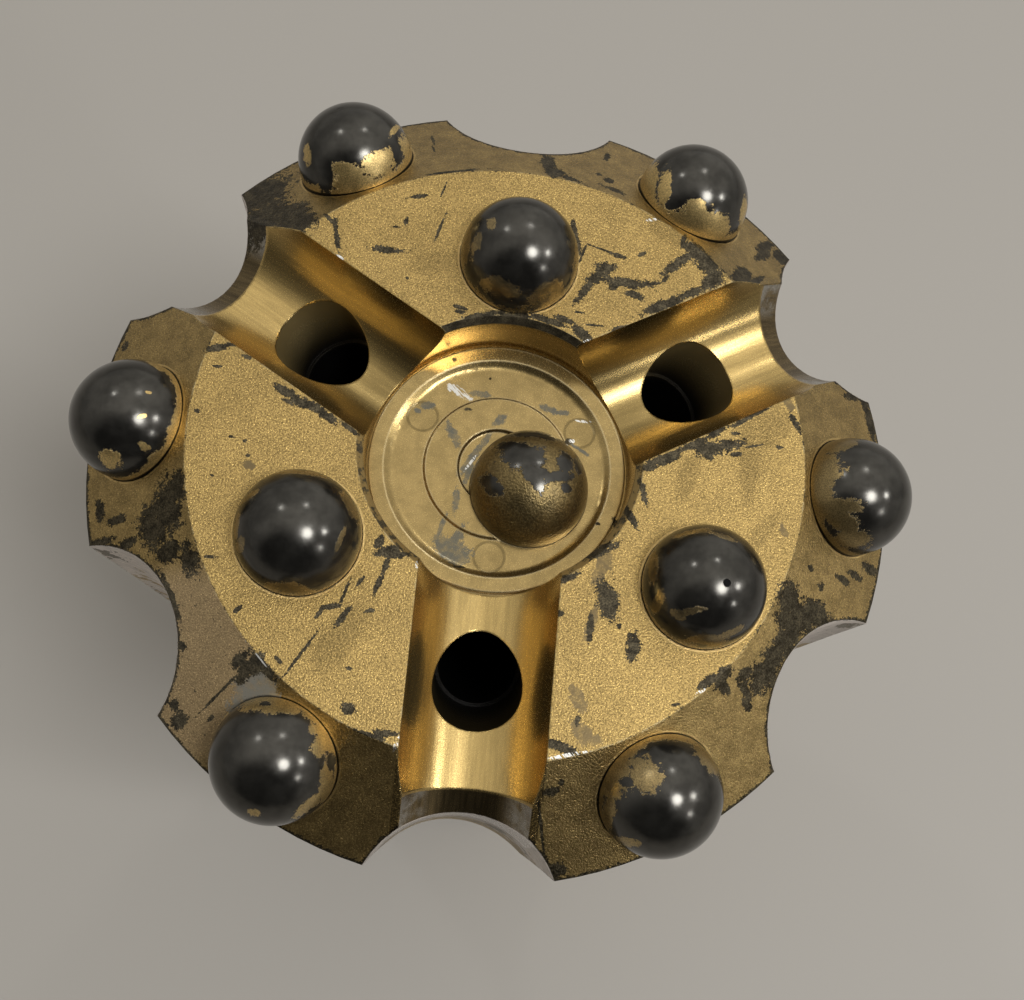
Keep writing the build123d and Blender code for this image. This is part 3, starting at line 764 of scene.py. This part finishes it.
def carbide(name, middle, axis, marks):
    """Finish of one button: ground carbide under the rags of overspray that it has kept."""
    material, ball, shader, place = new_finish(name + "_carbide")
    share = 1 / button_radius
    out = ball.vector("MULTIPLY_ADD", place, (share, share, share), tuple(-middle * share))
    over = ball.vector("MULTIPLY", out, (1, 1, 0))
    climb = ball.vector("DOT_PRODUCT", out, tuple(axis))
    wander = ball.group(ragged_reach, place=place)[0]
    torn = ball.noise(place, 4.5, 3.0, 0.7)
    ragged = ball.math("MULTIPLY_ADD", torn, 0.9, ball.math("SUBTRACT", wander, 0.45))

    def ragged_marks(spots):
        edge_share = ball.math("MULTIPLY_ADD", ragged, 0.6, worn_places(ball, over, spots))
        return ball.smooth(edge_share, 1.04, 0.96)

    sprayed = ragged_marks(marks["gold"])
    foot_edge = ball.math("MULTIPLY_ADD", ragged, 0.1, climb)
    sprayed = ball.either(sprayed, ball.smooth(foot_edge, foot_band + line_blur, foot_band - line_blur))
    if marks["bare"]:
        sprayed = ball.both(sprayed, ball.outside(ragged_marks(marks["bare"])))
    smear = ball.noise(place, 0.5, 4.0, 0.6)
    sprayed = ball.both(sprayed, ball.smooth(smear, 0.3, 0.6, thin_spray.get(name, 0.9), 1.0))
    sprayed = ball.math("MULTIPLY", sprayed, thin_spray.get(name, 1.0))

    coarseness = spray_coarseness.get(name, 0.14)
    height, painted_glints, tone = ball.group(sprayed_grain, place=place, coarseness=coarseness)
    # Tone of the overspray's sand, with painted glints that light up its gold at bright specks
    tone_and_painted_glints = ball.math("MULTIPLY_ADD", painted_glints, 0.9, tone)
    gold = ball.shade(overspray_gold, ball.math("MULTIPLY", tone_and_painted_glints, spray_tone.get(name, 1.0)))
    grey = ball.shade(carbide_dark, ball.smooth(smear, 0.3, 0.7, 0.75, 1.25))
    colour = ball.blend(sprayed, grey, gold)
    seat_line = ball.smooth(climb, seat_line_height + line_blur, seat_line_height - line_blur)
    colour = ball.blend(seat_line, colour, seat_dark)
    gloss = ball.smooth(smear, 0.3, 0.7, 0.17, 0.24)
    gloss = ball.math("MULTIPLY_ADD", sprayed, 0.16, gloss)
    sandiness = ball.math("MULTIPLY_ADD", sprayed, spray_sand.get(name, 0.45), 0.03)
    relief = ball.math("MULTIPLY_ADD", sprayed, 0.5, ball.math("MULTIPLY", height, sandiness))
    if name in pits:
        pit_x, pit_y, size = pits[name]
        pit_reach = worn_places(ball, over, [(pit_x, pit_y, size, size, 0)])
        pit = ball.smooth(ball.math("MULTIPLY_ADD", ragged, 0.12, pit_reach), 1.1, 0.8)
        colour = ball.blend(pit, colour, pit_black)
        relief = ball.math("MULTIPLY_ADD", pit, -4.0, relief)
        gloss = ball.math("MULTIPLY_ADD", pit, 0.5, gloss)

    dent = ball.put("Bump", dent_strength, dent_depth)
    ball.feed(dent.inputs["Height"], relief)
    ball.feed(shader.inputs["Base Color"], colour)
    ball.feed(shader.inputs["Roughness"], gloss)
    ball.feed(shader.inputs["Normal"], dent.outputs[0])
    shader.inputs["Metallic"].default_value = carbide_metallic
    return material


for name, marks in overspray.items():
    button_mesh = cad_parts[name].data
    button_mesh.materials.clear()
    button_mesh.materials.append(carbide(name, ball_middles[name], ball_axes[name], marks))


# Floor. A plain pale sheet that the bit stands on, wide enough to fill every view. It is part
# of the stage and not of the bit.
floor_half = 3.0
floor_grey, floor_roughness = (0.36, 0.34, 0.31, 1), 0.6

floor_mesh = bpy.data.meshes.new("floor")
corner_ways = ((-1, -1), (1, -1), (1, 1), (-1, 1))
floor_corners = [(floor_half * right_way, floor_half * back_way, 0) for right_way, back_way in corner_ways]
floor_mesh.from_pydata(floor_corners, [], [(0, 1, 2, 3)])
floor = bpy.data.objects.new("floor", floor_mesh)
scene.collection.objects.link(floor)
pale = bpy.data.materials.new("pale_floor")
pale.use_nodes = True
pale_surface = pale.node_tree.nodes["Principled BSDF"]
pale_surface.inputs["Base Color"].default_value = floor_grey
pale_surface.inputs["Roughness"].default_value = floor_roughness
floor_mesh.materials.append(pale)

# Lamps. Small round ceiling lights at one distance from the face, where the highlights on the
# buttons show them: the way to each, its width in metres and its power in watts.
lamp_distance = 1.3
lamps = (
    ("main_lamp", (0.37, -0.21, 0.90), 0.40, 8.5),
    ("second_lamp", (0.79, -0.05, 0.61), 0.16, 2.0),
    ("third_lamp", (0.72, -0.49, 0.49), 0.10, 0.8),
    ("fourth_lamp", (-0.46, 0.46, 0.76), 0.08, 0.6),
    ("fifth_lamp", (0.20, 0.61, 0.765), 0.08, 0.6),
)
face_middle = Vector((0, 0, face_height * mm))
for name, way, width, power in lamps:
    data = bpy.data.lights.new(name, "AREA")
    data.shape = "DISK"
    data.size = width
    data.energy = power
    lamp = bpy.data.objects.new(name, data)
    scene.collection.objects.link(lamp)
    lamp.location = face_middle + Vector(way).normalized() * lamp_distance
    lamp.rotation_euler = Vector(way).to_track_quat("Z", "Y").to_euler()

# Room. Soft daylight, brightest above and behind, a little dimmer at the left, and dark on the
# camera's side.
daylight = (1.0, 0.965, 0.90, 1)
light_way, dark_way, dim_way = (-0.12, 0.62, 0.78), (-0.14, -0.86, 0.49), (-0.75, 0.65, 0.0)

world = bpy.data.worlds.new("world")
scene.world = world
world.use_nodes = True
room = Finish(world.node_tree)
looking = room.put("TexCoord").outputs["Generated"]


def toward(way, start, end, low, high):
    """Level of light that changes from low to high as the room is looked at more along one way."""
    share = room.vector("DOT_PRODUCT", looking, tuple(Vector(way).normalized()))
    return room.smooth(share, start, end, low, high)


lit = toward(light_way, -0.1, 0.9, 0.38, 0.90)
shaded = toward(dark_way, 0.40, 0.82, 1.0, 0.03)
dim = toward(dim_way, 0.30, 0.95, 1.0, 0.55)
background = world.node_tree.nodes["Background"]
room.feed(background.inputs["Color"], room.shade(daylight, room.both(lit, shaded, dim)))
